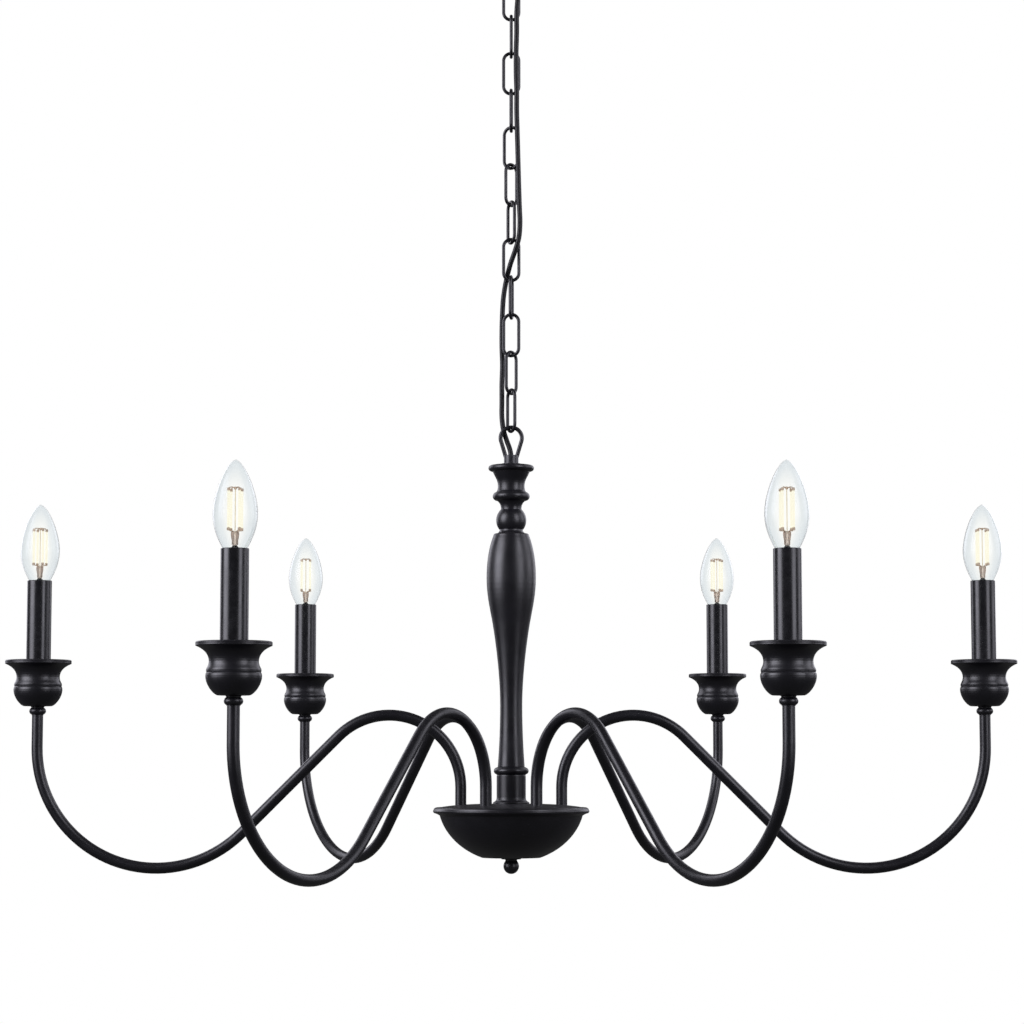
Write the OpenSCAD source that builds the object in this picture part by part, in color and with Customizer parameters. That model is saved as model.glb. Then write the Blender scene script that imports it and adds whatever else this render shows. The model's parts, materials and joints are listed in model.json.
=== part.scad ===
// Six-light candle chandelier, hung on a chain from a ceiling canopy.
// The origin is the centre of the ceiling face. The fixture hangs towards -Z.

/* [Ceiling canopy] */
// Diameter of the canopy's rim
canopy_d = 127; // [110:1:150]
// How far the canopy drops below the ceiling
canopy_drop = 28; // [24:1:36]
// Thickness of the spun canopy
canopy_wall = 1.2; // [0.8:0.1:2]
// Distance between the two outlet-box screws
box_screw_gap = 88.9; // [70:0.1:95]
// Diameter of the holes for those screws
box_screw_hole = 4.8; // [4.4:0.1:5.2]

/* [Chain] */
// Number of links
links = 12; // [12:1:12]
// Wire diameter of a link
link_wire = 3; // [2.6:0.1:3.2]
// Inside length of a link
link_inside = 35; // [34.9:0.1:35.1]
// Outside width of a link
link_width = 17; // [16.6:0.1:17.4]
// Wire diameter of the two end loops
loop_wire = 3.7; // [3.4:0.1:3.8]
// Outside width of the two end loops
loop_width = 23.1; // [22.5:0.1:24]
// Height of an end loop above its nut
loop_height = 27.5; // [27.4:0.1:27.6]

/* [Power cord] */
// Diameter of the cord
cord_d = 4.6; // [4:0.1:4.8]

/* [Arms] */
// Number of arms
arms = 6; // [6:1:6]
// Distance from the centre line to each candle
candle_ring = 426.4; // [400:1:450]
// Outer diameter of the arm tube
tube_d = 10; // [9:0.1:10]
// Bore of the arm tube
tube_bore = 8; // [7:0.1:8]
// Distance from the centre line to the foot of each arm
root_ring = 45.3; // [44:0.1:47]
// Radius of the bend over the bowl
inner_bend = 64.5; // [60:0.5:68]
// Radius of the bend under the candle
outer_bend = 108.3; // [104:0.1:112]
// Height of the bend's centre over the bowl, from the arm plate
inner_bend_z = 16.9; // [14:0.1:20]

/* [Candles] */
// Diameter of the candle sleeve
sleeve_d = 22; // [21:0.1:23]
// Height of the candle sleeve
sleeve_h = 76.2; // [74:0.1:78]
// Diameter of the drip pan
pan_d = 59.4; // [56:0.2:62]
// Diameter of the lower cup
cup_d = 43.6; // [42:0.2:44]
// Largest diameter of the bulb
bulb_d = 35; // [33:0.5:36]

/* [Column and bowl] */
// Height of the column's rim above the arm plate
column_h = 309; // [309:1:309]
// Largest diameter of the vase
vase_d = 44.6; // [40:0.2:48]
// Diameter of the bowl's lip
lip_d = 140.4; // [138:0.2:144]
// Depth of the bowl below the arm plate
bowl_depth = 46; // [46:1:46]
// Diameter of the ball under the bowl
finial_d = 14; // [13:0.5:16]

/* [Hidden] */
$fn = 96;
slack = 0.15;           // radial clearance between a bore and what it holds
gap = 0.3;              // clearance between links, so that each one can swing
bar_t = 2;              // crossbar thickness
bar_w = 16;
bar_l = 108;
nipple_r = 4.85;        // threaded pipe that ties the stack together
pipe_bore_r = 3.3;
collar_h = 12;          // screw collar that holds the canopy up
loop_nut_h = 7.6;
loop_nut_r = 6.6;
loop_leg_x = 4.8;       // where each leg of an end loop enters its nut
loop_bore_r = 2.9;
loop_wire_r = loop_wire / 2;
wire_r = link_wire / 2;
link_pitch = link_inside - gap;
link_bend_r = (link_width - link_wire) / 2;
link_side = link_inside + link_wire - 2 * link_bend_r;

// Levels on the way down from the ceiling
top_loop_z = -canopy_drop - collar_h;
first_link_z = top_loop_z - loop_height + loop_wire + gap - link_inside / 2;
function link_z(i) = first_link_z - link_pitch * i;
body_loop_top_z = link_z(links - 1) - link_inside / 2 + gap + loop_wire;
body_loop_z = body_loop_top_z - loop_height;
column_top_z = body_loop_z - loop_nut_h;
plate_z = column_top_z - column_h;

// Turn of each link about the vertical, from the top
link_turn = [0, 90, 0, 88, -25, 45, 115, 5, 82, -12, 50, 118];

// Levels of one candle, from the arm plate
bead_z = 81.5;
cup_z = 89.5;
seam_z = 107;
pan_floor_z = 126.5;
pan_top_z = 131;
sleeve_z = pan_floor_z;
sleeve_top_z = sleeve_z + sleeve_h;
bulb_seat_z = sleeve_top_z - 9;
bulb_tip_z = bulb_seat_z + 78;
tube_r = tube_d / 2;
tube_bore_r = tube_bore / 2;
arm_top_z = 118;
arm_foot_z = -12;
socket_r = 8.3;
socket_bore_r = 6.5;
base_r = 5.9;           // small screw base of a bulb

// Centre line of the cord, from the ceiling to its end in the bowl
cord_route = [
    [0, 0, -1], [0, 0, -20], [0, 0, -38], [1.8, -0.8, -46], [5, -2.6, -55], [6.2, -5, -66],
    [6, -6.6, -80.5], [5, -7, -96], [5, -7.5, -113.5], [4.5, -7, -132], [4.5, -7, -150.5],
    [5, -7, -169], [5, -7.5, -187.5], [5.5, -7.5, -206], [6, -7.5, -224.5], [6.5, -7.5, -243],
    [7, -7.5, -260.5], [7.5, -7, -276], [8, -6.5, -290.5], [7, -5, -304], [3.5, -3, -316],
    [-1, 0.5, -328.5], [-4.5, 4.5, -342], [-7, 6.5, -356.5], [-8, 7.5, -371], [-8.5, 7.5, -387.5],
    [-8.5, 7.5, -403.5], [-8, 7.5, -420], [-8.5, 7.5, -436.5], [-8.5, 7, -453],
    [-8.5, 6.5, -467.5], [-7, 5, -480], [-4, 3, -490], [-1, 1, -499], [0, 0, -508], [0, 0, -522],
    [0, 0, -610], [0, 0, -710], [0, 0, -810], [0, 0, -831.6]
];

// ---- Outlines ----

// Points along an arc of the given centre and radius
function arc(cx, cy, r, from, to, steps = 8) =
    [for (i = [0:steps]) let (a = from + (to - from) * i / steps) [cx + r * cos(a), cy + r * sin(a)]];

// Points along an arc of an ellipse with half-axes a and b
function oval_arc(cy, a, b, from, to, steps = 16) =
    [for (i = [0:steps]) let (t = from + (to - from) * i / steps) [a * cos(t), cy + b * sin(t)]];

// Points along a cubic curve. The start point is left out when skip is 1.
function curve(p, q, r, s, steps = 10, skip = 0) =
    [for (i = [skip:steps]) let (t = i / steps, u = 1 - t)
        u * u * u * p + 3 * u * u * t * q + 3 * u * t * t * r + t * t * t * s];

module turned(outline) {
    rotate_extrude() polygon(outline);
}

module hex_nut(across, bore, height) {
    difference() {
        cylinder(d = across / cos(30), h = height, $fn = 6);
        translate([0, 0, -1]) cylinder(r = bore, h = height + 2);
    }
}

module at_candle(i) {
    rotate([0, 0, 60 * (i - 1)]) translate([candle_ring, 0, plate_z]) children();
}

// ---- Ceiling fittings ----

module canopy() {
    rim_r = canopy_d / 2;
    bottom = -canopy_drop;
    flat_r = 15;
    color("#17171b") turned(concat(
        [[rim_r, 0], [rim_r, -4]],
        curve([rim_r, -4], [rim_r - 1.5, -17], [42, bottom + 1], [flat_r, bottom], 18, 1),
        [[nipple_r + slack, bottom], [nipple_r + slack, bottom + canopy_wall]],
        curve([flat_r, bottom + canopy_wall], [41.5, bottom + 1 + canopy_wall],
            [rim_r - 1.5 - canopy_wall, -16], [rim_r - canopy_wall, -4], 18),
        [[rim_r - canopy_wall, 0]]));
}

module crossbar() {
    color("#b9bcc2") difference() {
        translate([-bar_l / 2, -bar_w / 2, -bar_t]) cube([bar_l, bar_w, bar_t]);
        translate([0, 0, -bar_t - 1]) cylinder(r = nipple_r + slack, h = bar_t + 2);
        for (x = [-1, 1]) translate([x * box_screw_gap / 2, 0, -bar_t - 1])
            cylinder(d = box_screw_hole, h = bar_t + 2);
        translate([24, 0, -bar_t - 1]) cylinder(r = 1.9, h = bar_t + 2);
    }
}

// The nut that locks the nipple to the crossbar, and the earth screw
module crossbar_hardware() {
    color("#c8a24a") {
        translate([0, 0, -bar_t - 4]) hex_nut(14, nipple_r + slack, 4);
        translate([24, 0, -bar_t - 2.4]) cylinder(r = 3.6, h = 2.4);
        translate([24, 0, -bar_t]) cylinder(r = 1.75, h = bar_t - 0.3);
    }
}

module screw_collar() {
    color("#17171b") turned(concat(
        [[nipple_r + slack, -canopy_drop], [nipple_r + slack, top_loop_z + 4]],
        arc(9, top_loop_z + 5.5, 1.5, -90, 0, 5),
        arc(9, -canopy_drop - 1, 1, 0, 90, 5)));
}

// A pear-shaped loop standing on the plane z = 0
module pear_loop() {
    bend_r = (loop_width - loop_wire) / 2;
    centre_z = loop_height - loop_wire_r - bend_r;
    leg_in = 2;
    reach = norm([loop_leg_x, centre_z + leg_in]);
    start = acos(bend_r / reach) - atan2(centre_z + leg_in, loop_leg_x);
    leg = sqrt(reach * reach - bend_r * bend_r);
    rotate([90, 0, 0]) translate([0, centre_z, 0]) {
        rotate([0, 0, start]) rotate_extrude(angle = 180 - 2 * start)
            translate([bend_r, 0]) circle(r = loop_wire_r, $fn = 32);
        for (side = [0, 1]) mirror([side, 0, 0]) rotate([0, 0, start])
            translate([bend_r, 0, 0]) rotate([90, 0, 0])
                cylinder(r = loop_wire_r, h = leg, $fn = 32);
    }
}

module canopy_loop() {
    color("#17171b") difference() {
        union() {
            mirror([0, 0, 1]) translate([0, 0, -top_loop_z]) rotate([0, 0, 90]) pear_loop();
            translate([0, 0, top_loop_z]) cylinder(r = loop_nut_r, h = 4);
            translate([0, 0, top_loop_z + 3]) cylinder(r = nipple_r, h = -top_loop_z - 3.2);
        }
        translate([0, 0, top_loop_z - 2]) cylinder(r = loop_bore_r, h = -top_loop_z + 4);
    }
}

// ---- Chain ----

// One link of bent wire. The ends of the wire meet in a narrow butt joint.
module chain_link(i) {
    color("#1b1b20") translate([0, 0, link_z(i - 1)]) rotate([0, 0, link_turn[i - 1]])
        rotate([90, 0, 0]) {
            for (side = [0, 180]) rotate([0, 0, side]) {
                translate([0, link_side / 2, 0]) rotate_extrude(angle = 180)
                    translate([link_bend_r, 0]) circle(r = wire_r, $fn = 32);
            }
            translate([-link_bend_r, link_side / 2, 0]) rotate([90, 0, 0])
                cylinder(r = wire_r, h = link_side, $fn = 32);
            for (end = [0, 180]) rotate([end, 0, 0])
                translate([link_bend_r, link_side / 2, 0]) rotate([90, 0, 0])
                    cylinder(r = wire_r, h = link_side / 2 - 0.1, $fn = 32);
        }
}

// ---- Power cord ----

cord_sides = 8;

// A point on the smooth line through the route, t from 0 to 1 between points i and i + 1
function cord_point(i, t) =
    let (
        n = len(cord_route),
        p1 = cord_route[i],
        p2 = cord_route[min(i + 1, n - 1)],
        p0 = i > 0 ? cord_route[i - 1] : 2 * p1 - p2,
        p3 = i + 2 < n ? cord_route[i + 2] : 2 * p2 - p1
    )
    0.5 * (2 * p1 + (p2 - p0) * t + (2 * p0 - 5 * p1 + 4 * p2 - p3) * t * t
        + (3 * p1 - p0 - 3 * p2 + p3) * t * t * t);

cord_line = concat(
    [for (i = [0:len(cord_route) - 2]) for (t = [0, 0.5]) cord_point(i, t)],
    [cord_route[len(cord_route) - 1]]);

function cord_way(i) =
    let (n = len(cord_line), d = cord_line[min(i + 1, n - 1)] - cord_line[max(i - 1, 0)])
    d / norm(d);

// Corner k of the ring around point i. The cord never lies level, so X stays a good side way.
function cord_corner(i, k) =
    let (
        w = cord_way(i),
        v = cross(w, [1, 0, 0]) / norm(cross(w, [1, 0, 0])),
        u = cross(v, w),
        a = 360 * k / cord_sides
    )
    cord_line[i] + cord_d / 2 * (u * cos(a) + v * sin(a));

module power_cord() {
    rings = len(cord_line);
    corners = [for (i = [0:rings - 1]) for (k = [0:cord_sides - 1]) cord_corner(i, k)];
    sides = [for (i = [0:rings - 2]) for (k = [0:cord_sides - 1])
        let (a = i * cord_sides + k, b = i * cord_sides + (k + 1) % cord_sides)
        each [[a, b, b + cord_sides], [a, b + cord_sides, a + cord_sides]]];
    first_end = [[for (k = [cord_sides - 1:-1:0]) k]];
    last_end = [[for (k = [0:cord_sides - 1]) (rings - 1) * cord_sides + k]];
    color("#101013") polyhedron(corners, concat(first_end, sides, last_end));
}

// ---- Column ----

module body_loop() {
    color("#17171b") difference() {
        union() {
            translate([0, 0, body_loop_z]) pear_loop();
            translate([0, 0, column_top_z]) cylinder(r = loop_nut_r, h = loop_nut_h);
        }
        translate([0, 0, column_top_z - 1]) cylinder(r = nipple_r + slack, h = 6);
        translate([0, 0, column_top_z]) cylinder(r = loop_bore_r, h = loop_nut_h + 3);
    }
}

// Everything from here down is drawn from the arm plate's level
module from_plate() {
    translate([0, 0, plate_z]) children();
}

rod_hole_r = nipple_r + slack;

module column_cup() {
    color("#17171b") from_plate() turned(concat(
        [[rod_hole_r, 249], [10.4, 249]],
        arc(0, 257.4, 13.65, -36, 46, 12),
        curve([9.3, 268.2], [9.4, 270.6], [10, 273.2], [12.4, 275], 5),
        arc(12.9, 279.2, 3.85, -80, 78, 10),
        curve([12.7, 284.4], [11.9, 287], [11.7, 291], [13.3, 294.6], 6),
        curve([13.3, 294.6], [14.4, 297], [15.6, 299], [16.9, 302], 6, 1),
        arc(18.1, 304.9, 2.6, -75, 90, 8),
        curve([17.6, 307.4], [16.4, 307.1], [15, 305.2], [13, 304.8], 5),
        [[9, 304.8], [9, 309], [rod_hole_r, 309]]));
}

module column_vase() {
    wide_r = vase_d / 2;
    color("#17171b") from_plate() turned(concat(
        [[rod_hole_r, 34.8], [12, 34.8]],
        curve([12.1, 35.4], [10.9, 50], [9.95, 70], [9.95, 90], 8),
        curve([9.95, 90], [9.95, 114], [13.3, 143], [17, 165], 12, 1),
        curve([17, 165], [20, 181], [wide_r, 191], [wide_r, 205], 8, 1),
        curve([wide_r, 205], [wide_r, 222], [19.8, 234], [16.2, 243.4], 10, 1),
        arc(14.4, 243.6, 1.7, 20, 90, 4),
        curve([13.4, 245.5], [11.8, 245.7], [10.7, 246.8], [10.4, 249], 4),
        [[rod_hole_r, 249]]));
}

module column_foot() {
    color("#17171b") from_plate() turned(concat(
        [[rod_hole_r, 2], [16.2, 2]],
        arc(15.6, 2.8, 0.8, -45, 60, 4),
        curve([15, 4], [13.6, 4.6], [13.1, 6], [13.1, 8], 5),
        [[13.1, 26.9], [12.8, 27.8]],
        arc(12.6, 31.4, 3.1, -75, 75, 8),
        [[12.6, 34.8], [rod_hole_r, 34.8]]));
}

// ---- Hub ----

module arm_plate() {
    hub_t = 3;
    color("#17171b") from_plate() difference() {
        turned(concat(
            [[rod_hole_r, -hub_t], [64.2, -hub_t], [64.2, -1.4]],
            curve([63.8, -1], [54, 0.8], [38, 2], [20, 2], 12),
            [[rod_hole_r, 2]]));
        for (i = [1:arms]) rotate([0, 0, 60 * (i - 1)])
            translate([root_ring, 0, -hub_t - 1]) cylinder(r = tube_r + slack, h = hub_t + 6);
    }
}

module bowl() {
    lip_r = lip_d / 2;
    wall = 1.6;
    centre = 3.8;
    half_w = 65.9;
    half_h = 54.3;
    foot = asin((-bowl_depth - centre) / half_h);
    inner_foot = asin((-bowl_depth + wall - centre) / (half_h - wall));
    color("#17171b") from_plate() turned(concat(
        [[rod_hole_r, -bowl_depth]],
        oval_arc(centre, half_w, half_h, foot, -13, 20),
        curve([66, -7.4], [67.4, -6.6], [68.6, -6.4], [69.4, -6.2], 3),
        arc(lip_r - 1.5, -4.6, 1.5, -60, 40, 6),
        curve([69.4, -2.4], [68.6, -1.4], [67.4, -1], [65.4, -1], 5),
        [[64.5, -1.4], [64.5, -3], [61.6, -3]],
        oval_arc(centre, half_w - wall, half_h - wall, -10, inner_foot, 20),
        [[rod_hole_r, -bowl_depth + wall]]));
}

module finial() {
    ball_r = finial_d / 2;
    ball_z = -bowl_depth - 0.5 - ball_r;
    color("#17171b") from_plate() difference() {
        turned(concat(
            [[0, ball_z - ball_r]],
            arc(0, ball_z, ball_r, -80, 42, 14),
            [[5.4, -bowl_depth - 1.6], [8.6, -bowl_depth - 1.4], [9, -bowl_depth - 0.8],
                [8.8, -bowl_depth], [0, -bowl_depth]]));
        translate([0, 0, -bowl_depth - 5.5]) cylinder(r = rod_hole_r, h = 6.5);
    }
}

module centre_rod() {
    bottom = -bowl_depth - 5;
    window_h = 14;
    color("#b9bcc2") from_plate() difference() {
        translate([0, 0, bottom]) cylinder(r = nipple_r, h = column_h + 4.6 - bottom);
        translate([0, 0, bottom + 3]) cylinder(r = pipe_bore_r, h = column_h + 10 - bottom);
        translate([0, -2.5, -28]) cube([nipple_r + 1, 5, window_h]);
    }
}

// Nuts under the arm plate: one on the centre rod and one on the foot of each arm
module lock_nuts() {
    nut_h = 5;
    color("#b9bcc2") from_plate() translate([0, 0, -3 - nut_h]) {
        hex_nut(16, rod_hole_r, nut_h);
        for (i = [1:arms]) rotate([0, 0, 60 * (i - 1)]) translate([root_ring, 0, 0])
            hex_nut(16, tube_r + slack, nut_h);
    }
}

// ---- Arms ----

run_angle = 45;         // slope of the straight run between the two bends
both_bends = inner_bend + outer_bend;
run_reach = candle_ring - root_ring - both_bends * (1 + sin(run_angle));
run_length = run_reach / cos(run_angle);
outer_bend_z = inner_bend_z + both_bends * sin(run_angle) - run_reach;

module round_section(outer, inner) {
    difference() {
        circle(r = outer, $fn = 48);
        if (inner > 0) circle(r = inner, $fn = 48);
    }
}

module bend(radius, turn, outer, inner) {
    rotate_extrude(angle = turn) translate([radius, 0]) round_section(outer, inner);
}

// A straight tube from the origin towards +Y
module straight(length, outer, inner) {
    rotate([-90, 0, 0]) linear_extrude(length) round_section(outer, inner);
}

// An upright leg has a wall a hair thinner than the bends, which leaves a clean step at the joint
module leg(length, outer, inner) {
    leg_step = 0.01;
    straight(length, outer - leg_step, inner > 0 ? inner + leg_step : 0);
}

// The S-shaped run of an arm, above +X. Each piece starts in the frame of the last one.
module arm_run(outer, inner, foot_z, top_z) {
    translate([root_ring, 0, inner_bend_z]) rotate([90, 0, 0]) {
        mirror([0, 1, 0]) leg(inner_bend_z - foot_z, outer, inner);
        translate([inner_bend, 0, 0]) rotate([0, 0, run_angle]) {
            bend(inner_bend, 180 - run_angle, outer, inner);
            translate([inner_bend, 0, 0]) mirror([0, 1, 0]) straight(run_length, outer, inner);
            translate([both_bends, -run_length, 0]) {
                rotate([0, 0, 180]) bend(outer_bend, 180 - run_angle, outer, inner);
                rotate([0, 0, -run_angle]) translate([outer_bend, 0, 0])
                    leg(top_z - outer_bend_z, outer, inner);
            }
        }
    }
}

module arm(i) {
    color("#17171b") from_plate() rotate([0, 0, 60 * (i - 1)])
        arm_run(tube_r, tube_bore_r, arm_foot_z, arm_top_z);
}

// A twisted pair runs inside each arm. Its outer shape is drawn.
module arm_wires() {
    color("#8a6d3b") from_plate() for (i = [1:arms]) rotate([0, 0, 60 * (i - 1)])
        arm_run(2, 0, arm_foot_z - 2, arm_top_z + 6);
}

// ---- Candles ----

cup_r = cup_d / 2;

// Each lower cup has a bead at its neck
module lower_cup() {
    turned(concat(
        [[tube_r + slack, bead_z], [5.6, bead_z]],
        arc(4.2, bead_z + 3.6, 3.3, -70, 62, 8),
        curve([5.9, bead_z + 7.4], [5.9, cup_z], [9, cup_z], [12.6, cup_z], 4),
        curve([12.6, cup_z], [16, cup_z + 1], [cup_r, cup_z + 8], [cup_r, cup_z + 15], 12, 1),
        [[cup_r - 0.2, seam_z - 0.8], [cup_r - 0.8, seam_z], [cup_r - 2.6, seam_z]],
        curve([cup_r - 2, cup_z + 15], [cup_r - 2, cup_z + 10], [15, cup_z + 3], [12, cup_z + 2], 8),
        [[tube_r + slack, cup_z + 2]]));
}

module lower_cups() {
    color("#17171b") for (i = [1:arms]) at_candle(i) lower_cup();
}

module drip_pan(i) {
    pan_r = pan_d / 2;
    floor_t = 1.6;
    color("#17171b") at_candle(i) turned(concat(
        [[cup_r - 2.6, seam_z], [cup_r - 0.8, seam_z], [cup_r - 0.6, seam_z + 0.8]],
        curve([cup_r - 0.5, seam_z + 2], [cup_r - 0.9, seam_z + 4], [19.4, seam_z + 5],
            [19.2, seam_z + 8.5], 6),
        curve([19.2, seam_z + 8.5], [19.3, 121.5], [23.5, 125], [28.6, 127.2], 9, 1),
        arc(pan_r - 0.9, 128.2, 0.9, -60, 30, 4),
        arc(pan_r - 1.3, pan_top_z - 1.3, 1.3, 10, 90, 4),
        curve([pan_r - 2.4, pan_top_z - 0.2], [26, 129.6], [24.6, 127.2], [21, pan_floor_z], 6),
        [[tube_r + slack, pan_floor_z], [tube_r + slack, pan_floor_z - floor_t],
            [18.4, pan_floor_z - floor_t]],
        curve([17.6, 120], [17.4, 116], [17.8, 112], [cup_r - 2.6, seam_z + 2], 5)));
}

module candle_sleeve(i) {
    sleeve_r = sleeve_d / 2;
    bore_r = sleeve_r - 0.9;
    color("#141418") at_candle(i) turned([
        [bore_r, sleeve_z], [sleeve_r, sleeve_z], [sleeve_r, sleeve_top_z - 0.4],
        [sleeve_r - 0.25, sleeve_top_z], [bore_r + 0.15, sleeve_top_z],
        [bore_r, sleeve_top_z - 0.3]
    ]);
}

// A socket stands on the top of each arm, inside the sleeve
module candle_socket() {
    stem_top = 150;
    top = bulb_seat_z - 0.5;
    turned([
        [tube_r + slack, pan_floor_z], [6.5, pan_floor_z], [6.5, stem_top], [socket_r, stem_top],
        [socket_r, top], [socket_bore_r, top], [socket_bore_r, top - 24], [2.6, top - 24],
        [2.6, pan_floor_z + 4], [tube_r + slack, pan_floor_z + 4]
    ]);
}

module sockets() {
    color("#2a2622") for (i = [1:arms]) at_candle(i) candle_socket();
}

module bulb_glass(i) {
    glass_t = 0.8;
    wide_r = bulb_d / 2;
    z = bulb_seat_z;
    color("#dfe9ee") at_candle(i) turned(concat(
        curve([7.1, z], [7.2, z + 4], [8.2, z + 6.6], [9.5, z + 9], 5),
        curve([9.5, z + 9], [12.5, z + 14.5], [wide_r, z + 24], [wide_r, z + 36], 12, 1),
        curve([wide_r, z + 36], [wide_r, z + 52], [7.5, z + 76.4], [0, bulb_tip_z], 18, 1),
        curve([0, bulb_tip_z - glass_t], [6.7, z + 75.4], [wide_r - glass_t, z + 51.6],
            [wide_r - glass_t, z + 36], 18),
        curve([wide_r - glass_t, z + 36], [wide_r - glass_t, z + 24.4], [11.7, z + 15],
            [8.7, z + 9.4], 12, 1),
        curve([8.7, z + 9.4], [7.4, z + 7], [6.4, z + 4], [6.3, z], 5, 1)));
}

// Screw base, glass stem and the cage of upright filaments of one bulb
module bulb_core(i) {
    z = bulb_seat_z;
    cage_low = z + 24;
    cage_high = z + 57;
    cage_r = 6.1;
    disc_r = 7;
    color("#d9b36a") at_candle(i) {
        turned([
            [0, z - 19.5], [2.4, z - 19.5], [3, z - 18.6], [4.6, z - 17], [base_r, z - 16],
            [base_r, z - 2], [base_r + 0.2, z - 1.4], [6.3, z - 0.6], [6.3, z], [3.4, z],
            [3.2, z + 12], [1.6, z + 18], [1.4, cage_low], [disc_r, cage_low],
            [disc_r, cage_low + 0.8], [0, cage_low + 0.8]
        ]);
        for (k = [0:3]) rotate([0, 0, 90 * k + 45]) translate([cage_r, 0, cage_low + 0.4])
            cylinder(r = 0.7, h = cage_high - cage_low, $fn = 24);
        translate([0, 0, cage_high]) cylinder(r = disc_r, h = 0.8);
    }
}

canopy();
crossbar();
crossbar_hardware();
screw_collar();
canopy_loop();
for (i = [1:links]) chain_link(i);
power_cord();
body_loop();
column_cup();
column_vase();
column_foot();
arm_plate();
bowl();
finial();
centre_rod();
lock_nuts();
for (i = [1:arms]) arm(i);
lower_cups();
for (i = [1:arms]) drip_pan(i);
for (i = [1:arms]) candle_sleeve(i);
for (i = [1:arms]) bulb_glass(i);
for (i = [1:arms]) bulb_core(i);
sockets();
arm_wires();
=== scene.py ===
"""Looks for the six-light candle chandelier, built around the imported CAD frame. Metres, +Z up."""

import json
import math

import bmesh
import bpy
import numpy as np
from mathutils import Matrix, Vector


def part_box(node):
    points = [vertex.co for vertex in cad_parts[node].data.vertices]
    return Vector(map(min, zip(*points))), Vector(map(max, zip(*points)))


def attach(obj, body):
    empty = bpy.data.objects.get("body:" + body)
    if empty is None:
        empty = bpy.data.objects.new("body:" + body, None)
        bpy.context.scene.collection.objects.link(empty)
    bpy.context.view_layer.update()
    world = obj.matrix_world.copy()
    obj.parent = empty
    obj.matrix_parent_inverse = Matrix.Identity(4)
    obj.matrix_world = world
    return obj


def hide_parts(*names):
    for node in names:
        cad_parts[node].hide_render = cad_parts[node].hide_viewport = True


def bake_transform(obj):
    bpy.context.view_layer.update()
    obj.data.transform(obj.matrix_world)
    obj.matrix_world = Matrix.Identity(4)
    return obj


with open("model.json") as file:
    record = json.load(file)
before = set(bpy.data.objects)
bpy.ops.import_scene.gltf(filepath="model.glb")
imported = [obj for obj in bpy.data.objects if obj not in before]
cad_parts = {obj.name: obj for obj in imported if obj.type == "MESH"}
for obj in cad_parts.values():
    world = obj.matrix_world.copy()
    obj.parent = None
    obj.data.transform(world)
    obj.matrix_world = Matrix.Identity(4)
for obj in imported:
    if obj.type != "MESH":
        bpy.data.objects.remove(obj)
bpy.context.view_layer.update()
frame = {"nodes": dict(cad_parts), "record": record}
nodes = frame["nodes"]

MM = 0.001
FLOOR_RADIUS = 16
SHARP_ANGLE = math.radians(38)
ARMS = 6
LINKS = 12
LENS = 97.7  # mm
CAMERA_PLACE = (0.0007, -2.508, -0.787)
CAMERA_TILT = 5.28  # degrees up from level
LOOP_NUT_H = 7.6 * MM  # the body loop's nut stands on the column cup
FLOOR_Z = -4.2
LIGHT_COLOUR = (0.9, 0.89, 1.0)
LIGHT_TARGET = Vector((0, 0, -0.62))  # on the column's axis
DIM_WORLD = 0.085
FILAMENTS = 4
CAGE_TURN = 38  # degrees


# ---- Places, all read from the frame ----


def centre(node):
    low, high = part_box(node)
    return (low + high) / 2


LINK_Z = [centre(f"chain_link_{k}").z for k in range(1, LINKS + 1)]
CANDLE = [centre(f"candle_sleeve_{i}") for i in range(1, ARMS + 1)]
BULB_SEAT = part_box("bulb_glass_1")[0].z
BULB_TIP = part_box("bulb_glass_1")[1].z


# ---- Camera ----


def add_camera():
    """Stands in front of the fixture, level with the foot of its column, and looks up a little.

    Candles 5 and 6 are the two nearest to it.
    """
    data = bpy.data.cameras.new("camera")
    data.sensor_width = 36
    data.lens = LENS
    data.clip_end = 60
    camera = bpy.data.objects.new("camera", data)
    camera.location = CAMERA_PLACE
    camera.rotation_euler = (math.radians(90 + CAMERA_TILT), 0, 0)
    bpy.context.scene.collection.objects.link(camera)
    bpy.context.scene.camera = camera


add_camera()


# ---- Mesh helpers ----


def new_object(name, mesh):
    obj = bpy.data.objects.new(name, mesh)
    bpy.context.scene.collection.objects.link(obj)
    return obj


def mesh_of(name, verts, faces):
    mesh = bpy.data.meshes.new(name)
    mesh.from_pydata([tuple(v) for v in verts], [], faces)
    mesh.validate()
    bm = bmesh.new()
    bm.from_mesh(mesh)
    bmesh.ops.recalc_face_normals(bm, faces=bm.faces)
    for face in bm.faces:
        face.smooth = True
    for edge in bm.edges:
        edge.smooth = len(edge.link_faces) < 2 or edge.calc_face_angle() < SHARP_ANGLE
    bm.to_mesh(mesh)
    bm.free()
    return mesh


def grid_mesh(name, rings, closed_ends=True, closed_loop=False):
    """Rings of the same number of points, joined into a tube. Its ends are capped with one face each."""
    rings = np.asarray(rings, float)
    count, sides = rings.shape[:2]
    faces = []
    for a in range(count if closed_loop else count - 1):
        b = (a + 1) % count
        for k in range(sides):
            n = (k + 1) % sides
            faces.append((a * sides + k, a * sides + n, b * sides + n, b * sides + k))
    if closed_ends and not closed_loop:
        faces.append(tuple(range(sides - 1, -1, -1)))
        faces.append(tuple((count - 1) * sides + k for k in range(sides)))
    return mesh_of(name, rings.reshape(-1, 3), faces)


def lathe_rings(outline, sides, radius_at=None):
    """Rings around +Z through (radius, height) points. radius_at(r, z, angles) may shape each ring."""
    angles = np.arange(sides) * 2 * math.pi / sides
    rings = []
    for r, z in outline:
        radii = np.full(sides, r) if radius_at is None else radius_at(r, z, angles)
        rings.append(np.stack([radii * np.cos(angles), radii * np.sin(angles), np.full(sides, z)], 1))
    return rings


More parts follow.
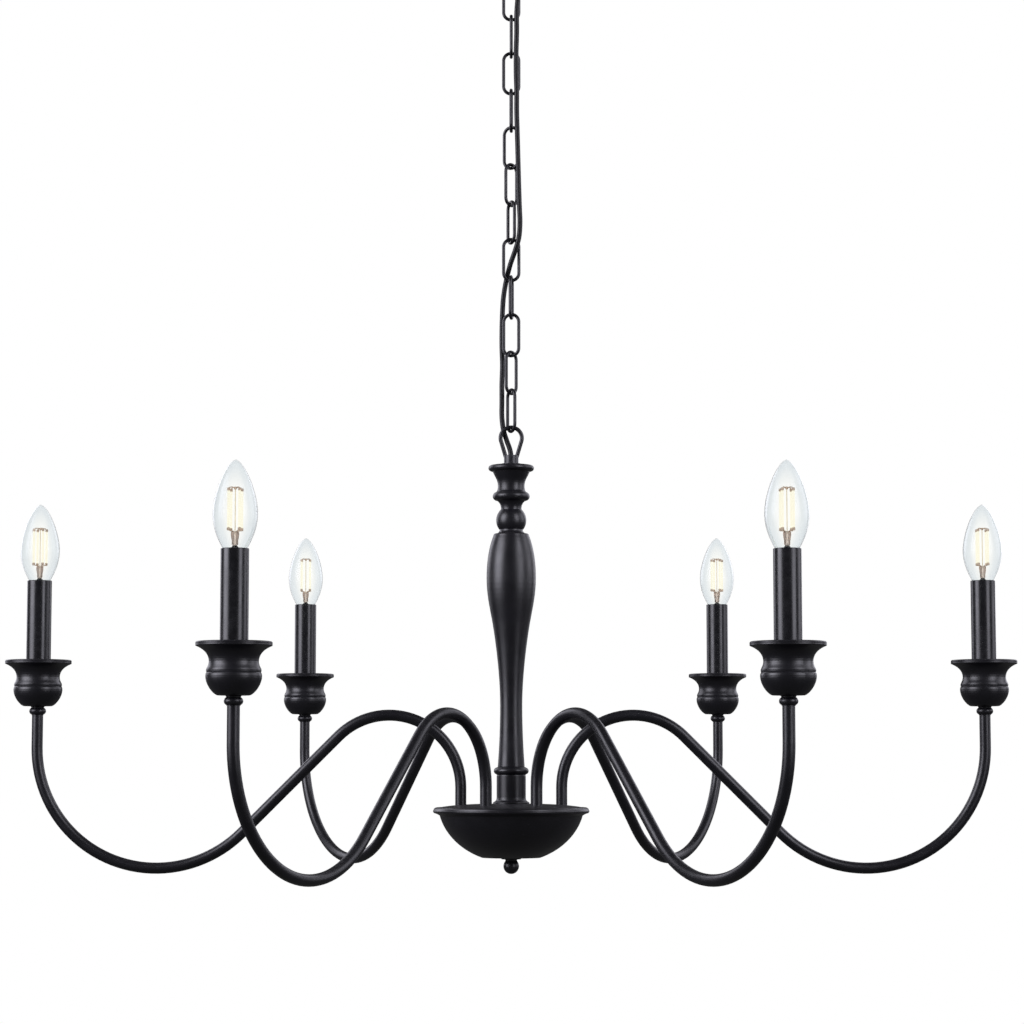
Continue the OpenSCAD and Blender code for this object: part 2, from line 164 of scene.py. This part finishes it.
def curve(p, q, r, s, steps, skip=0):
    """Points along a cubic curve, as in the CAD outlines."""
    p, q, r, s = (np.array(x, float) for x in (p, q, r, s))
    points = []
    for i in range(skip, steps + 1):
        t = i / steps
        u = 1 - t
        points.append(u**3 * p + 3 * u * u * t * q + 3 * u * t * t * r + t**3 * s)
    return points


def sweep(path, radius, sides):
    """Rings of a round tube along a path, with no twist. radius is a number or one per point."""
    path = np.asarray(path, float)
    radii = np.broadcast_to(np.asarray(radius, float), len(path))
    ways = np.gradient(path, axis=0)
    ways /= np.linalg.norm(ways, axis=1)[:, None]
    side = np.cross(ways[0], [0.0, 1.0, 0.0])
    if np.linalg.norm(side) < 0.1:
        side = np.cross(ways[0], [1.0, 0.0, 0.0])
    angles = np.arange(sides) * 2 * math.pi / sides
    rings = []
    for point, way, r in zip(path, ways, radii):
        side = side - way * side.dot(way)
        side /= np.linalg.norm(side)
        up = np.cross(way, side)
        rings.append(point + r * (np.cos(angles)[:, None] * side + np.sin(angles)[:, None] * up))
    return rings


def smooth_line(points, steps):
    """A smooth line through points, as the CAD draws the cord."""
    points = np.asarray(points, float)
    padded = np.vstack([2 * points[0] - points[1], points, 2 * points[-1] - points[-2]])
    line = []
    for i in range(1, len(padded) - 2):
        p0, p1, p2, p3 = padded[i - 1 : i + 3]
        for t in np.arange(steps) / steps:
            line.append(
                0.5 * (2 * p1 + (p2 - p0) * t + (2 * p0 - 5 * p1 + 4 * p2 - p3) * t**2
                       + (3 * p1 - p0 - 3 * p2 + p3) * t**3)
            )
    line.append(points[-1])
    return np.array(line)


# ---- Materials ----


class Nodes:
    """A short way to write a material's node tree."""

    def __init__(self, name):
        self.material = bpy.data.materials.new(name)
        self.material.use_nodes = True
        self.tree = self.material.node_tree
        self.tree.nodes.clear()
        self.output = self.add("ShaderNodeOutputMaterial")
        self.shader = self.add("ShaderNodeBsdfPrincipled")
        self.link(self.shader.outputs["BSDF"], self.output.inputs["Surface"])
        self.place = self.add("ShaderNodeTexCoord").outputs["Object"]

    def add(self, kind, **values):
        node = self.tree.nodes.new(kind)
        for key, value in values.items():
            setattr(node, key, value)
        return node

    def link(self, source, target):
        self.tree.links.new(source, target)

    def set(self, **values):
        for name, value in values.items():
            self.shader.inputs[name.replace("_", " ")].default_value = value

    def noise(self, scale, detail=3.0, roughness=0.55, stretch=None):
        node = self.add("ShaderNodeTexNoise")
        node.inputs["Scale"].default_value = scale
        node.inputs["Detail"].default_value = detail
        node.inputs["Roughness"].default_value = roughness
        source = self.place
        if stretch is not None:
            mapping = self.add("ShaderNodeMapping")
            mapping.inputs["Scale"].default_value = stretch
            self.link(source, mapping.inputs["Vector"])
            source = mapping.outputs["Vector"]
        self.link(source, node.inputs["Vector"])
        return node.outputs["Fac"]

    def ramp(self, source, low, high, low_value, high_value):
        node = self.add("ShaderNodeMapRange")
        self.link(source, node.inputs["Value"])
        node.inputs["From Min"].default_value = low
        node.inputs["From Max"].default_value = high
        node.inputs["To Min"].default_value = low_value
        node.inputs["To Max"].default_value = high_value
        return node.outputs["Result"]

    def math(self, operation, a, b):
        node = self.add("ShaderNodeMath", operation=operation)
        for k, value in enumerate((a, b)):
            if isinstance(value, (int, float)):
                node.inputs[k].default_value = value
            else:
                self.link(value, node.inputs[k])
        return node.outputs[0]

    def mix(self, factor, a, b):
        node = self.add("ShaderNodeMix", data_type="RGBA")
        self.link(factor, node.inputs["Factor"])
        for socket, value in ((node.inputs[6], a), (node.inputs[7], b)):
            if isinstance(value, tuple):
                socket.default_value = (*value, 1.0)
            else:
                self.link(value, socket)
        return node.outputs[2]

    def bump(self, height, distance, strength=1.0):
        node = self.add("ShaderNodeBump")
        node.inputs["Strength"].default_value = strength
        node.inputs["Distance"].default_value = distance
        self.link(height, node.inputs["Height"])
        self.link(node.outputs["Normal"], self.shader.inputs["Normal"])

    def facing_up(self):
        """1 on level upward faces, 0 on the rest. Dust settles there."""
        geometry = self.add("ShaderNodeNewGeometry")
        split = self.add("ShaderNodeSeparateXYZ")
        self.link(geometry.outputs["Normal"], split.inputs["Vector"])
        return self.ramp(split.outputs["Z"], 0.55, 1.0, 0.0, 1.0)

    def edges(self, low=0.52, high=0.62):
        """1 on outward edges, where paint is rubbed thin."""
        geometry = self.add("ShaderNodeNewGeometry")
        return self.ramp(geometry.outputs["Pointiness"], low, high, 0.0, 1.0)


def painted(name, colour, rubbed, roughness, grain_scale, grain_depth):
    """Sprayed black enamel: fine orange peel, cloudy gloss, thin rubbed edges and a little dust on top."""
    n = Nodes(name)
    clouds = n.noise(38, 4)
    tone = n.ramp(clouds, 0.3, 0.7, 0.0, 1.0)
    base = n.mix(tone, tuple(c * 0.8 for c in colour), tuple(c * 1.25 for c in colour))
    worn = n.math("MULTIPLY", n.edges(), n.ramp(n.noise(160, 3), 0.4, 0.65, 0.15, 1.0))
    base = n.mix(worn, base, rubbed)
    dust = n.math("MULTIPLY", n.facing_up(), n.ramp(n.noise(420, 5), 0.42, 0.75, 0.0, 0.22))
    base = n.mix(dust, base, (0.16, 0.155, 0.15))
    n.link(base, n.shader.inputs["Base Color"])
    gloss = n.ramp(n.noise(75, 4), 0.3, 0.7, roughness - 0.05, roughness + 0.06)
    n.link(n.math("ADD", gloss, n.math("MULTIPLY", dust, 0.9)), n.shader.inputs["Roughness"])
    n.bump(n.noise(grain_scale, 2), grain_depth, 0.6)
    n.set(Specular_IOR_Level=0.5, IOR=1.5)
    return n.material


def metal(name, colour, dark, roughness, brush=(1, 1, 14)):
    """Plated or drawn metal with a fine brushed grain and cloudy tarnish."""
    n = Nodes(name)
    tarnish = n.ramp(n.noise(140, 5), 0.35, 0.75, 0.0, 1.0)
    n.link(n.mix(tarnish, colour, dark), n.shader.inputs["Base Color"])
    grain = n.noise(900, 2, stretch=brush)
    n.link(n.ramp(grain, 0.3, 0.7, roughness * 0.75, roughness * 1.35), n.shader.inputs["Roughness"])
    n.bump(grain, 0.00003, 0.5)
    n.set(Metallic=1.0)
    return n.material


def plastic(name, colour, roughness, grain_scale=1400, grain_depth=0.00004, specular=0.5):
    """Moulded or extruded plastic with a slight mottle and a fine matt grain."""
    n = Nodes(name)
    tone = n.ramp(n.noise(110, 4), 0.3, 0.7, 0.0, 1.0)
    n.link(n.mix(tone, tuple(c * 0.8 for c in colour), tuple(min(c * 1.2, 1) for c in colour)),
           n.shader.inputs["Base Color"])
    n.link(n.ramp(n.noise(260, 3), 0.3, 0.7, roughness - 0.06, roughness + 0.08),
           n.shader.inputs["Roughness"])
    n.bump(n.noise(grain_scale, 2), grain_depth, 0.5)
    n.set(Specular_IOR_Level=specular)
    return n.material


def clear_glass(name, front, edge):
    """Thin blown glass. Its colour carries painted shade: it is greyer towards the tip, and where it is seen
    edge on.
    """
    n = Nodes(name)
    facing = n.add("ShaderNodeLayerWeight")
    facing.inputs["Blend"].default_value = 0.5
    height = n.add("ShaderNodeSeparateXYZ")
    n.link(n.place, height.inputs[0])
    # painted shade: the glass's colour turns grey towards the tip and where the glass is seen edge on
    tip = n.ramp(height.outputs["Z"], 0.056, 0.072, 0.0, 0.8)
    painted_edge_shade = n.ramp(facing.outputs["Facing"], 0.03, 0.24, 0.0, 1.0)
    n.link(n.mix(n.math("MAXIMUM", tip, painted_edge_shade), front, edge), n.shader.inputs["Base Color"])
    n.set(Transmission_Weight=1.0, IOR=1.45, Roughness=0.0, Specular_Tint=(0.2, 0.2, 0.2, 1.0))
    return n.material


def pressed_glass(name):
    """The pinched end of the stem, clouded and tinted by the copper-clad wires sealed in it."""
    n = Nodes(name)
    streaks = n.noise(260, 4, stretch=(1, 1, 0.25))
    n.link(n.mix(n.ramp(streaks, 0.35, 0.65, 0.0, 1.0), (0.95, 0.84, 0.76), (0.85, 0.68, 0.58)),
           n.shader.inputs["Base Color"])
    n.set(Transmission_Weight=0.7, IOR=1.5, Roughness=0.3)
    return n.material


def filament(name):
    """A lit LED filament: cream phosphor over a row of tiny chips."""
    n = Nodes(name)
    wave = n.add("ShaderNodeTexWave", wave_type="BANDS", bands_direction="Z", wave_profile="SIN")
    wave.inputs["Scale"].default_value = 160
    n.link(n.place, wave.inputs["Vector"])
    cream = n.mix(n.ramp(wave.outputs["Fac"], 0.2, 0.9, 0.0, 1.0), (0.96, 0.91, 0.71), (1.0, 0.98, 0.85))
    n.link(cream, n.shader.inputs["Emission Color"])
    n.set(Base_Color=(0.05, 0.05, 0.04, 1.0), Emission_Strength=0.95, Roughness=0.5)
    return n.material


MATERIALS = {
    "black_paint": painted("black_paint", (0.0058, 0.0056, 0.0078), (0.024, 0.024, 0.028),
                           0.34, 900, 0.000004),
    "sleeve_black": painted("sleeve_black", (0.005, 0.005, 0.0065), (0.016, 0.016, 0.018),
                            0.24, 1200, 0.000001),
    # the glass's second colour is painted shade for its tip and its edge-on parts
    "bulb_glass": clear_glass("bulb_glass", (0.995, 0.995, 0.975), (0.86, 0.89, 0.905)),
    "bulb_brass": metal("bulb_brass", (0.78, 0.56, 0.3), (0.42, 0.27, 0.13), 0.24),
    "brass": metal("brass", (0.75, 0.56, 0.28), (0.4, 0.28, 0.14), 0.32),
    "zinc": metal("zinc", (0.62, 0.63, 0.65), (0.36, 0.37, 0.39), 0.34),
    "cord_black": plastic("cord_black", (0.0045, 0.0045, 0.0054), 0.42, specular=0.3),
    "socket_plastic": plastic("socket_plastic", (0.035, 0.026, 0.02), 0.3),
    "wire_plastic": plastic("wire_plastic", (0.22, 0.13, 0.06), 0.4),
    "bulb_filament": filament("bulb_filament"),
    "bulb_copper": plastic("bulb_copper", (0.58, 0.44, 0.34), 0.4, 900, 0.00001),
    "bulb_post": plastic("bulb_post", (0.8, 0.68, 0.44), 0.35, 900, 0.00001),
    "stem_glass": pressed_glass("stem_glass"),
    "insulator": plastic("insulator", (0.012, 0.012, 0.012), 0.3),
}


def dress(obj, material):
    obj.data.materials.clear()
    obj.data.materials.append(MATERIALS[material])


def dress_cad_nodes():
    """Each CAD node takes the material of its slot in the record."""
    for row in frame["record"]["subparts"]:
        obj = nodes[row["node"]]
        dress(obj, row["material_slot"])


dress_cad_nodes()


def piece(name, mesh, material, body):
    """A new piece that rides on a CAD body."""
    obj = new_object(name, mesh)
    dress(obj, material)
    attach(obj, body)
    return obj


# ---- Power cord ----

CORD_D = 4.6 * MM
# The route of the cord's centre line, from the ceiling to the bowl, in metres
CORD_ROUTE = np.array([
    [0, 0, -1], [0, 0, -20], [0, 0, -38], [1.8, -0.8, -46], [5, -2.6, -55], [6.2, -5, -66],
    [6, -6.6, -80.5], [5, -7, -96], [5, -7.5, -113.5], [4.5, -7, -132], [4.5, -7, -150.5],
    [5, -7, -169], [5, -7.5, -187.5], [5.5, -7.5, -206], [6, -7.5, -224.5], [6.5, -7.5, -243],
    [7, -7.5, -260.5], [7.5, -7, -276], [8, -6.5, -290.5], [7, -5, -304], [3.5, -3, -316],
    [-1, 0.5, -328.5], [-4.5, 4.5, -342], [-7, 6.5, -356.5], [-8, 7.5, -371], [-8.5, 7.5, -387.5],
    [-8.5, 7.5, -403.5], [-8, 7.5, -420], [-8.5, 7.5, -436.5], [-8.5, 7, -453],
    [-8.5, 6.5, -467.5], [-7, 5, -480], [-4, 3, -490], [-1, 1, -499], [0, 0, -508], [0, 0, -522],
    [0, 0, -610], [0, 0, -710], [0, 0, -810], [0, 0, -831.6],
]) * MM


def add_cord():
    """The cord is split where it passes the middle of each link. Its stretches are set in place, and only the
    last one rides on the fixture.
    """
    line = smooth_line(CORD_ROUTE, 10)
    rings = sweep(line, CORD_D / 2, 20)
    loop_nut_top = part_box("column_cup")[1].z + LOOP_NUT_H
    stops = LINK_Z + [loop_nut_top]
    cuts = [0] + [int(np.abs(line[:, 2] - z).argmin()) for z in stops] + [len(line) - 1]
    riders = ["ceiling"] + [f"link_{k}" for k in range(1, LINKS + 1)] + ["fixture"]
    # above this level the cord is held in the canopy's nipple
    for k in range(len(cuts) - 1):
        a, b = cuts[k], cuts[k + 1]
        cord = new_object(f"cord_{k + 1}", grid_mesh(f"cord_{k + 1}", rings[a : b + 1]))
        dress(cord, "cord_black")
        if k < len(riders) - 1:
            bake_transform(cord)
        else:
            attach(cord, "fixture")
        if k == 0:
            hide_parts("power_cord")


add_cord()


# ---- Bulbs ----


def glass_outline():
    """The envelope of a candle bulb, up the outside from its seat to its tip and back down inside."""
    tip = (BULB_TIP - BULB_SEAT) / MM
    wall = 0.6
    wide = (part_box("bulb_glass_1")[1].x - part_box("bulb_glass_1")[0].x) / MM / 2
    outside = (
        curve((7.1, 0.02), (7.2, 4), (8.2, 6.6), (9.5, 9), 8)
        + curve((9.5, 9), (12.5, 14.5), (wide, 24), (wide, 36), 20, 1)
        + curve((wide, 36), (wide, 52), (7.5, tip - 1.6), (0.02, tip), 34, 1)
    )
    inside = (
        curve((0.02, tip - wall), (6.9, tip - 2.4), (wide - wall, 51.8), (wide - wall, 36), 34)
        + curve((wide - wall, 36), (wide - wall, 24.2), (12, 14.8), (8.9, 9.2), 20, 1)
        + curve((8.9, 9.2), (7.6, 7), (6.6, 4), (6.5, 0.02), 8, 1)
    )
    return [p * MM for p in outside + inside]


def threaded_base(sides=72):
    """The small screw base, with a rolled thread, and its collar around the glass."""
    pitch, depth, top, bottom = 2.54, 0.42, -2.4, -16.0

    def shape(r, z, angles):
        height = z / MM
        fade = min(1.0, max(0.0, (top - height) / 1.2), max(0.0, (height - bottom) / 1.2))
        turn = np.cos(2 * math.pi * height / pitch - angles)
        return np.full(len(angles), r) + depth * MM * fade * (turn - 1) / 2

    outline = [(3.2, bottom - 0.5), (4.6, bottom - 0.4), (5.6, bottom - 0.1)]
    outline += [(5.9, z) for z in np.linspace(bottom, top, 70)]
    outline += [(6.05, -1.9), (6.6, -1.2), (7.2, -0.4), (7.3, 0.5), (7.3, 2.6), (7.2, 3.0), (7.05, 3.0)]
    return lathe_rings([(r * MM, z * MM) for r, z in outline], sides, shape)


def turned_mesh(name, outline, sides=40):
    """A closed turned solid from (radius, height) points in millimetres."""
    return grid_mesh(name, lathe_rings([(r * MM, z * MM) for r, z in outline], sides))


INSULATOR = [(1.9, -19), (2.4, -18.9), (3.1, -18.3), (4.5, -17.2), (5.0, -16.6), (5.0, -16.1), (3, -16.1)]
CONTACT = [(0.3, -19.5), (1.1, -19.45), (1.7, -19.2), (1.95, -18.8), (1.95, -18.2), (0.3, -18.2)]
# the dark boot of the driver, whose tip shows in the neck of the glass
BOOT = [(0.3, -1.5), (4.8, -1.4), (5.1, -0.8), (5.1, 2.5), (4.9, 5), (4.2, 7.4), (3.3, 9.2), (2.3, 10.6),
        (1.3, 11.5), (0.5, 11.9), (0.1, 12)]
BEAD = [(0.1, 54.6), (0.8, 54.8), (1.2, 55.5), (1.2, 56.2), (0.8, 56.8), (0.1, 57)]

CAGE_R = 6.1
CAP_R, CAP_H = 1.25, 2.5
LOW_CAP, HIGH_CAP = 22.7, 53.3
PRESS_TOP = 22.2


def press_rings():
    """The flat glass press that holds the lead wires. It is round at its foot and pinched flat above."""
    rings = []
    for wide, thick, z in ((1.6, 1.6, 8), (1.9, 1.9, 11), (2.1, 2.0, 12.5), (2.5, 1.8, 15), (3.0, 1.6, 17.5),
                           (3.3, 1.5, 20), (3.3, 1.45, 21.3), (3.05, 1.2, 21.9), (2.4, 0.8, PRESS_TOP)):
        a = np.arange(36) * 2 * math.pi / 36
        rings.append(np.stack([wide * np.cos(a), thick * np.sin(a), np.full(36, z)], 1) * MM)
    return rings


def cage_place(k, height, radius=CAGE_R):
    a = math.radians(90 * k + CAGE_TURN)
    return (radius * math.cos(a), radius * math.sin(a), height)


def wire(points, radius, sides=10):
    """Rings of a wire through points in millimetres."""
    return np.array(sweep(smooth_line(np.array(points) * MM, 6), radius * MM, sides))


def joined(name, parts):
    """One mesh from several closed sets of rings."""
    verts, faces, start = [], [], 0
    for rings in parts:
        part = grid_mesh("part", rings)
        verts += [tuple(v.co) for v in part.vertices]
        faces += [tuple(start + v for v in p.vertices) for p in part.polygons]
        start += len(part.vertices)
        bpy.data.meshes.remove(part)
    return mesh_of(name, verts, faces)


def filament_strips():
    """Four upright strips with rounded ends."""
    strips = []
    low, high, thick, ends = LOW_CAP + 1.4, HIGH_CAP + 1.1, 1.05, 1.0
    for k in range(FILAMENTS):
        x, y, _ = cage_place(k, 0)
        heights = np.concatenate([
            low + ends * (1 - np.cos(np.linspace(0.2, math.pi / 2, 6))),
            np.linspace(low + ends, high - ends, 12)[1:-1],
            high - ends * (1 - np.cos(np.linspace(math.pi / 2, 0.2, 6))),
        ])
        swell = np.minimum(np.minimum((heights - low) / ends, (high - heights) / ends), 1)
        radii = thick * np.sqrt(np.clip(1 - (1 - swell) ** 2, 0.03, 1))
        strips.append(np.array(sweep(np.array([(x, y, z) for z in heights]) * MM, radii * MM, 16)))
    return strips


def copper_work():
    """The caps of the filaments, the leads that fan out from the press and the arms at the top."""
    parts = []
    for k in range(FILAMENTS):
        side = 1 if math.cos(math.radians(90 * k + CAGE_TURN)) > 0 else -1
        root = side * (1.1 if k in (1, 3) else 2.1)
        parts.append(wire([(root, 0, 12), (root, 0, 16), (root, 0, 20), (root * 1.05, 0, PRESS_TOP),
                           cage_place(k, PRESS_TOP + 0.5, 3.6), cage_place(k, LOW_CAP + 0.3, 5.2),
                           cage_place(k, LOW_CAP + 1)], 0.42))
        parts.append(wire([(0, 0, 55.9), cage_place(k, 56.4, 2.4), cage_place(k, 56.2, 4.8),
                           cage_place(k, 55.2)], 0.4))
        for foot in (LOW_CAP, HIGH_CAP):
            heights = foot + CAP_H * np.array([0, 0.08, 0.25, 0.75, 0.92, 1])
            radii = CAP_R * np.array([0.62, 0.88, 1, 1, 0.88, 0.62])
            parts.append(np.array(sweep(np.array([cage_place(k, z) for z in heights]) * MM, radii * MM, 16)))
    parts.append(np.array(lathe_rings([(r * MM, z * MM) for r, z in BEAD], 16)))
    return parts


def add_bulbs():
    post = [(0, 0, PRESS_TOP - 2), (0, 0, 30), (0, 0, 44), (0, 0, 55.4)]
    meshes = {
        "glass": (grid_mesh("glass", lathe_rings(glass_outline(), 96), closed_loop=True), "bulb_glass"),
        "base": (grid_mesh("base", threaded_base()), "bulb_brass"),
        "insulator": (turned_mesh("insulator", INSULATOR), "insulator"),
        "contact": (turned_mesh("contact", CONTACT), "zinc"),
        "boot": (turned_mesh("boot", BOOT), "insulator"),
        "press": (grid_mesh("press", press_rings()), "stem_glass"),
        "post": (grid_mesh("post", wire(post, 0.34, 12)), "bulb_post"),
        "copper": (joined("copper", copper_work()), "bulb_copper"),
        "filaments": (joined("filaments", filament_strips()), "bulb_filament"),
    }
    turns = (8, -14, 10, -6, 0, 12)
    for i in range(1, ARMS + 1):
        place = Matrix.Translation((CANDLE[i - 1].x, CANDLE[i - 1].y, BULB_SEAT))
        turn = Matrix.Rotation(math.radians(turns[i - 1]), 4, "Z")
        for part, (mesh, material) in meshes.items():
            obj = new_object(f"bulb_{part}_{i}", mesh.copy())
            dress(obj, material)
            obj.matrix_world = place @ turn
            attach(obj, f"bulb_{i}")
            if part == "glass":
                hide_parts(f"bulb_glass_{i}")
            if part == "base":
                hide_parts(f"bulb_core_{i}")


add_bulbs()


# ---- Screw collar ----


def add_collar():
    """The collar that holds the canopy up, with a diamond knurl for the fingers."""
    low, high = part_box("screw_collar")
    outer = (high.x - low.x) / 2
    bore = 5.0 * MM
    teeth, depth = 36, 0.35 * MM

    def knurl(r, z, angles):
        if r < outer - 0.01 * MM:
            return np.full(len(angles), r)
        slant = 2 * math.pi * z / (2.6 * MM)
        ridge = np.abs(np.cos((teeth * angles + slant) / 2)) * np.abs(np.cos((teeth * angles - slant) / 2))
        return r - depth * (1 - ridge)

    z0, z1 = low.z, high.z
    outline = [(bore, z0), (outer - 1.6 * MM, z0), (outer - 0.5 * MM, z0 + 0.5 * MM)]
    outline += [(outer - 0.15 * MM, z0 + 1.4 * MM)]
    outline += [(outer, z) for z in np.linspace(z0 + 1.6 * MM, z1 - 1.6 * MM, 26)]
    outline += [(outer - 0.15 * MM, z1 - 1.4 * MM), (outer - 0.6 * MM, z1 - 0.5 * MM)]
    outline += [(outer - 1.6 * MM, z1), (bore, z1)]
    mesh = grid_mesh("screw_collar_knurled", lathe_rings(outline, 288, knurl), closed_loop=True)
    collar = piece("screw_collar_knurled", mesh, "black_paint", "ceiling")
    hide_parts("screw_collar")


add_collar()


# ---- Stage ----


def add_floor():
    """A plain pale floor, far under the fixture, that glows like the white around it and lights nothing."""
    floor = new_object("floor", mesh_of("floor", [
        (FLOOR_RADIUS * math.cos(a), FLOOR_RADIUS * math.sin(a), 0) for a in np.radians(np.arange(0, 360, 5))
    ], [tuple(range(72))]))
    floor.location.z = FLOOR_Z
    n = Nodes("floor")
    n.link(n.mix(n.noise(0.6), (0.95, 0.95, 0.955), (0.985, 0.985, 0.985)), n.shader.inputs["Emission Color"])
    n.set(Base_Color=(0.02, 0.02, 0.02, 1.0), Emission_Strength=1.0, Roughness=0.9)
    floor.data.materials.append(n.material)
    floor.visible_glossy = False
    floor.visible_diffuse = False
    floor.visible_transmission = False


def add_softbox(name, azimuth, width, tall, radiance, height=0.8, distance=2.4):
    """A soft light that faces the fixture and fades out towards its edges.

    Azimuth 0 is the camera's side, and height is above LIGHT_TARGET.
    """
    data = bpy.data.lights.new(name, "AREA")
    data.shape = "RECTANGLE"
    data.size = width
    data.size_y = tall
    data.energy = radiance * math.pi * width * tall
    data.color = LIGHT_COLOUR
    data.use_nodes = True
    tree = data.node_tree
    emission = next(node for node in tree.nodes if node.type == "EMISSION")
    across = tree.nodes.new("ShaderNodeSeparateXYZ")
    tree.links.new(tree.nodes.new("ShaderNodeNewGeometry").outputs["Parametric"], across.inputs[0])
    fades = []
    for axis in ("X", "Y"):
        rise = tree.nodes.new("ShaderNodeMapRange")
        rise.interpolation_type = "SMOOTHSTEP"
        fall = tree.nodes.new("ShaderNodeMapRange")
        fall.interpolation_type = "SMOOTHSTEP"
        for node, low, high in ((rise, 0.0, 0.35), (fall, 1.0, 0.65)):
            node.inputs["From Min"].default_value = low
            node.inputs["From Max"].default_value = high
            tree.links.new(across.outputs[axis], node.inputs["Value"])
            fades.append(node.outputs["Result"])
    total = fades[0]
    for fade in fades[1:]:
        product = tree.nodes.new("ShaderNodeMath")
        product.operation = "MULTIPLY"
        tree.links.new(total, product.inputs[0])
        tree.links.new(fade, product.inputs[1])
        total = product.outputs[0]
    tree.links.new(total, emission.inputs["Strength"])
    light = bpy.data.objects.new(name, data)
    a = math.radians(azimuth)
    light.location = LIGHT_TARGET + Vector((distance * math.sin(a), -distance * math.cos(a), height))
    light.rotation_euler = (LIGHT_TARGET - light.location).to_track_quat("-Z", "Y").to_euler()
    light.visible_transmission = False
    bpy.context.scene.collection.objects.link(light)


def add_world():
    """White behind the fixture and through its glass, and dim for what the paint reflects."""
    world = bpy.data.worlds.new("studio")
    bpy.context.scene.world = world
    world.use_nodes = True
    tree = world.node_tree
    tree.nodes.clear()
    output = tree.nodes.new("ShaderNodeOutputWorld")
    background = tree.nodes.new("ShaderNodeBackground")
    path = tree.nodes.new("ShaderNodeLightPath")
    seen = tree.nodes.new("ShaderNodeMath")
    seen.operation = "MAXIMUM"
    strength = tree.nodes.new("ShaderNodeMapRange")
    strength.inputs["To Min"].default_value = DIM_WORLD
    strength.inputs["To Max"].default_value = 1.0
    background.inputs["Color"].default_value = (1, 1, 1, 1)
    tree.links.new(path.outputs["Is Camera Ray"], seen.inputs[0])
    tree.links.new(path.outputs["Is Transmission Ray"], seen.inputs[1])
    tree.links.new(seen.outputs[0], strength.inputs["Value"])
    tree.links.new(strength.outputs["Result"], background.inputs["Strength"])
    tree.links.new(background.outputs[0], output.inputs[0])


add_floor()
add_softbox("softbox_left", -64, 2.6, 3.0, 7.2)
add_softbox("softbox_right", 45, 1.7, 3.0, 5.2)
add_softbox("softbox_right_side", 96, 2.2, 2.8, 2.4)
add_softbox("softbox_back_left", -138, 2.0, 2.6, 2.4)
add_softbox("softbox_back_right", 145, 2.0, 2.6, 2.0)
add_world()
bpy.context.scene.view_settings.view_transform = "Standard"
